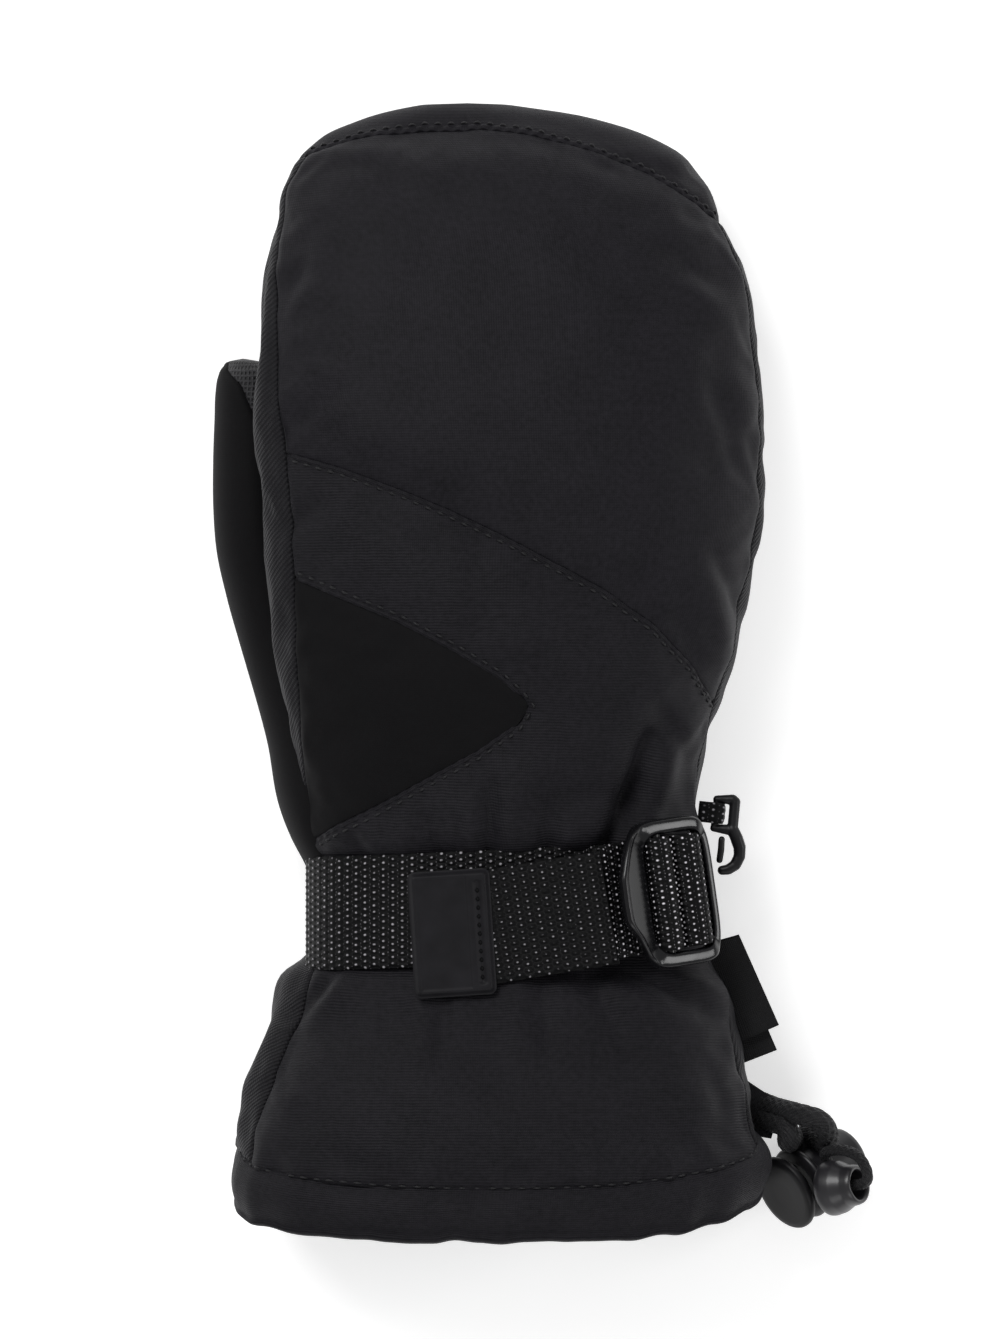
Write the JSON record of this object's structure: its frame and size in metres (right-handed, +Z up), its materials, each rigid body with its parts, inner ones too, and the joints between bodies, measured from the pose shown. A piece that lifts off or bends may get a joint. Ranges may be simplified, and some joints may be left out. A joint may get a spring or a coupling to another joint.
{
  "type": "ski mitten",
  "caption": "Padded right-hand ski mitten with panelled shell, separate thumb, wrist strap on a ladder-lock buckle, flared cuff with drawcord and cord lock, and a pairing hook.",
  "frame": {"origin": "on the palm underside, in the plane the mitten lies on, near the middle of its length", "axes": "+Y towards the fingertips, +X towards the little-finger side, +Z up through the back of the hand"},
  "size_m": [0.1517, 0.2508, 0.0572],
  "materials": {
    "shell_fabric": "matt black ribbed woven shell with a foam backing",
    "stretch_fabric": "matt black smooth stretch fabric",
    "grip_fabric": "black textured grip fabric",
    "webbing": "black woven webbing with a slight sheen",
    "rubber": "dark grey satin rubber",
    "black_plastic": "semi-gloss black moulded plastic",
    "lining_fleece": "dark brushed fleece",
    "fibre_fill": "white fibre wadding",
    "membrane": "pale thin waterproof film",
    "woven_label": "bare black woven label",
    "elastic_cord": "black braided elastic cord",
    "spring_steel": "bright spring steel"
  },
  "bodies": {
    "hand": {"fingertip_panel": "shell_fabric", "back_panel": "shell_fabric", "knuckle_band_panel": "shell_fabric", "stretch_insert": "stretch_fabric", "thumb_side_gusset": "shell_fabric", "outer_side_gusset": "shell_fabric", "palm_panel": "grip_fabric", "cuff_back_panel": "shell_fabric", "cuff_palm_panel": "shell_fabric", "hem_outer": "shell_fabric", "hem_facing": "shell_fabric", "hem_drawcord": "elastic_cord", "wrist_elastic": "webbing", "waterproof_insert": "membrane", "insulation": "fibre_fill", "lining": "lining_fleece", "wrist_strap": "webbing", "care_label": "woven_label", "size_label": "woven_label", "cord_exit_tab": "webbing", "clip_loop": "webbing", "buckle_anchor_loop": "webbing"},
    "thumb": {"thumb_back": "stretch_fabric", "thumb_grip": "grip_fabric", "thumb_insulation": "fibre_fill", "thumb_lining": "lining_fleece"},
    "buckle": {"buckle_frame": "black_plastic", "strap_fold": "webbing"},
    "strap_end": {"strap_tail": "webbing", "pull_tab": "rubber"},
    "drawcord_end": {"drawcord_long": "elastic_cord", "drawcord_short": "elastic_cord", "drawcord_loop": "elastic_cord", "cord_lock_body": "black_plastic", "cord_lock_spring": "spring_steel", "cord_end_bell": "black_plastic"},
    "plunger": {"cord_lock_plunger": "black_plastic"},
    "clip": {"clip_body": "black_plastic"},
    "gate": {"clip_gate": "black_plastic"}
  },
  "joints": [
    {"name": "thumb_spread", "type": "hinge", "parent": "hand", "child": "thumb", "pos_m": [-0.058, 0.008, 0.014], "axis": [0, 0, 1], "range_deg": [0, 20]},
    {"name": "buckle_tilt", "type": "hinge", "parent": "hand", "child": "buckle", "pos_m": [0.046, -0.0476, 0.0414], "axis": [-0.1392, 0.9903, 0], "range_deg": [0, 30]},
    {"name": "strap_tail_lift", "type": "hinge", "parent": "buckle", "child": "strap_end", "pos_m": [0.02241, -0.0521, 0.053], "axis": [-0.165, 0.9863, 0], "range_deg": [0, 75]},
    {"name": "drawcord_swing", "type": "hinge", "parent": "hand", "child": "drawcord_end", "pos_m": [0.0605, -0.0975, 0.0215], "axis": [0, 0, 1], "range_deg": [0, 25]},
    {"name": "plunger_press", "type": "slide", "parent": "drawcord_end", "child": "plunger", "axis": [0.7263, 0.4193, -0.5446], "range_m": [0, 0.0025], "stiffness_N_per_m": 1500, "springref_m": -0.001, "deforming": ["cord_lock_spring"]},
    {"name": "clip_swing", "type": "hinge", "parent": "hand", "child": "clip", "pos_m": [0.04733, -0.03179, 0.024], "axis": [0.1045, 0.9945, 0], "range_deg": [-20, 20]},
    {"name": "clip_gate_open", "type": "hinge", "parent": "clip", "child": "gate", "pos_m": [0.04888, -0.03638, 0.024], "axis": [0, 0, 1], "range_deg": [0, 16]}
  ]
}
